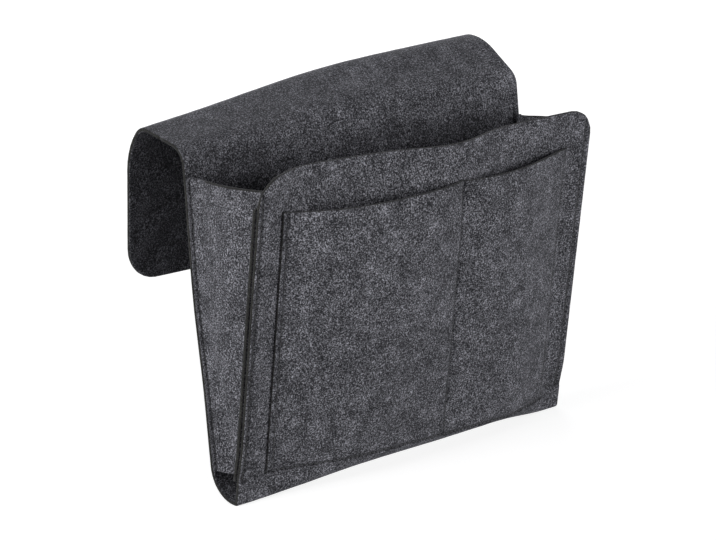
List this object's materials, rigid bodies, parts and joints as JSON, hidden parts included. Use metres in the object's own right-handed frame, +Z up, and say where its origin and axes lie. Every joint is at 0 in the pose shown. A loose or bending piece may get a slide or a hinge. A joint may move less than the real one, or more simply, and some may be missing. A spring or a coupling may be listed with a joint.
{
  "type": "felt bedside caddy",
  "caption": "Felt caddy that hangs by a hook flap over a bed rail or armrest, with a tapered main compartment and divided front pockets.",
  "frame": {"origin": "middle of the hook's underside, where it sits on a bed rail or armrest", "axes": "+X along the caddy's width to the right seen from the front, +Y from the front to the back, +Z up"},
  "size_m": [0.33, 0.1821, 0.2808],
  "materials": {
    "felt": "mottled dark grey pressed polyester felt, matte, raw cut edges",
    "thread": "dark grey sewing thread"
  },
  "bodies": {
    "hook": {"hook_top": "felt"},
    "flap": {"hook_flap": "felt"},
    "bag": {"back_panel": "felt", "bottom_fold": "felt", "left_gusset_rear": "felt", "right_gusset_rear": "felt", "left_rear_seam_thread": "thread", "right_rear_seam_thread": "thread"},
    "front": {"front_panel": "felt", "pocket_panel": "felt", "left_gusset_front_flange": "felt", "right_gusset_front_flange": "felt", "left_front_seam_thread": "thread", "right_front_seam_thread": "thread", "left_pocket_seam_thread": "thread", "right_pocket_seam_thread": "thread", "pocket_divider_thread": "thread", "pocket_bottom_thread": "thread"},
    "left_wing": {"left_gusset_wing": "felt"},
    "right_wing": {"right_gusset_wing": "felt"}
  },
  "joints": [
    {"name": "bag_fold", "type": "hinge", "parent": "hook", "child": "bag", "pos_m": [0, -0.02552, -0.00774], "axis": [-1, 0, 0], "range_deg": [0, 67]},
    {"name": "flap_fold", "type": "hinge", "parent": "hook", "child": "flap", "pos_m": [0, 0.03146, 0.00402], "axis": [1, 0, 0], "range_deg": [0, 104]},
    {"name": "front_fold", "type": "hinge", "parent": "bag", "child": "front", "pos_m": [0, -0.08553, -0.26258], "axis": [-1, 0, 0], "range_deg": [0, 13.8]},
    {"name": "left_gusset_fold", "type": "hinge", "parent": "front", "child": "left_wing", "pos_m": [-0.155, -0.09825, -0.15332], "axis": [0, 0.1184, -0.993], "range_deg": [0, 90]},
    {"name": "right_gusset_fold", "type": "hinge", "parent": "front", "child": "right_wing", "pos_m": [0.155, -0.09825, -0.15332], "axis": [0, -0.1184, 0.993], "range_deg": [0, 90]}
  ],
  "couplings": [
    {"joint": "left_gusset_fold", "follows": "front_fold", "ratio": 6.52},
    {"joint": "right_gusset_fold", "follows": "front_fold", "ratio": 6.52}
  ]
}
